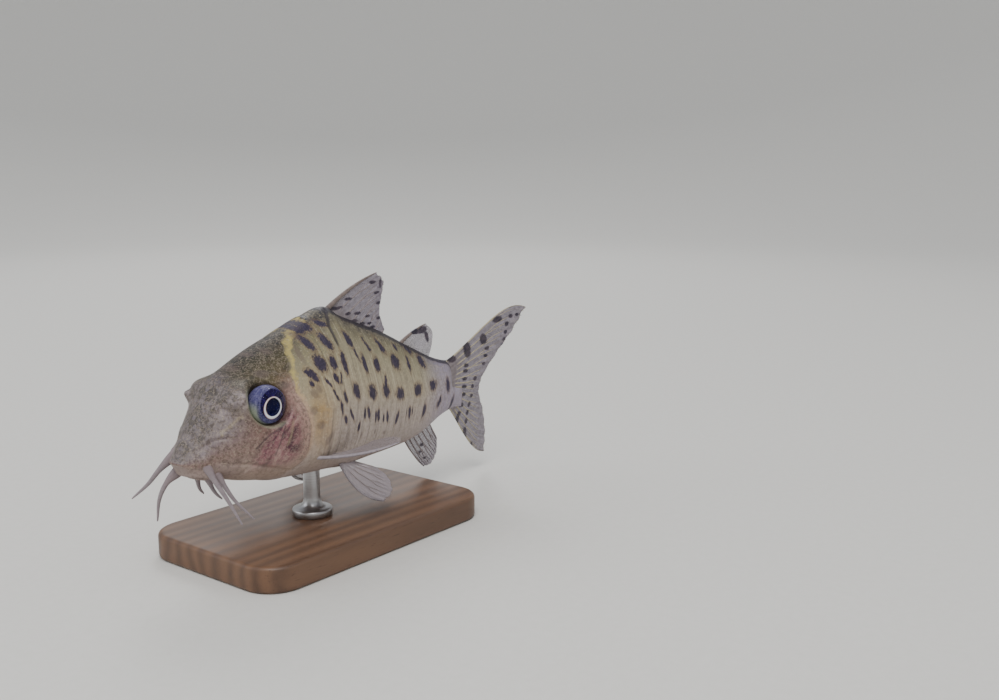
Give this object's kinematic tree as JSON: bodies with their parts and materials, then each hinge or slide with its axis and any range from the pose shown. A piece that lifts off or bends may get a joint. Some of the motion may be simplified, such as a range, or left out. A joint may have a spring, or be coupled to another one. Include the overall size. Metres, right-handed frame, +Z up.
{
  "type": "corydoras catfish on a display stand",
  "caption": "Still, life-size small armoured catfish with folded-back dorsal fin, whiskers and forked tail, held level over a flat display base by one rod.",
  "frame": {"origin": "on the floor, under the middle of the model's box", "axes": "+X from the snout to the tail, +Z up; the fish's left side faces -Y"},
  "size_m": [0.0604, 0.0254, 0.0312],
  "materials": {
    "head_skin": "moist mottled brown-grey skin over bone",
    "flank_skin": "satin olive-grey bony plates with dark spots",
    "gill_cover": "satin reddish bone plate",
    "eye": "clear wet eye with a pale ring round a black pupil",
    "fin": "thin translucent membrane with dark flecks on the rays",
    "barbel": "soft pale skin",
    "stand_base": "satin walnut, plain",
    "stand_rod": "brushed, thin"
  },
  "bodies": {
    "root": {"head": "head_skin", "torso": "flank_skin", "tail": "flank_skin", "gill_cover_left": "gill_cover", "gill_cover_right": "gill_cover", "eye_left": "eye", "eye_right": "eye", "dorsal_fin": "fin", "adipose_fin": "fin", "caudal_fin_upper": "fin", "caudal_fin_lower": "fin", "anal_fin": "fin", "pectoral_fin_left": "fin", "pectoral_fin_right": "fin", "pelvic_fin_left": "fin", "pelvic_fin_right": "fin", "barbel_upper_left": "barbel", "barbel_upper_right": "barbel", "barbel_lower_left": "barbel", "barbel_lower_right": "barbel", "barbel_chin_left": "barbel", "barbel_chin_right": "barbel", "stand_base": "stand_base", "stand_rod": "stand_rod"}
  },
  "joints": []
}
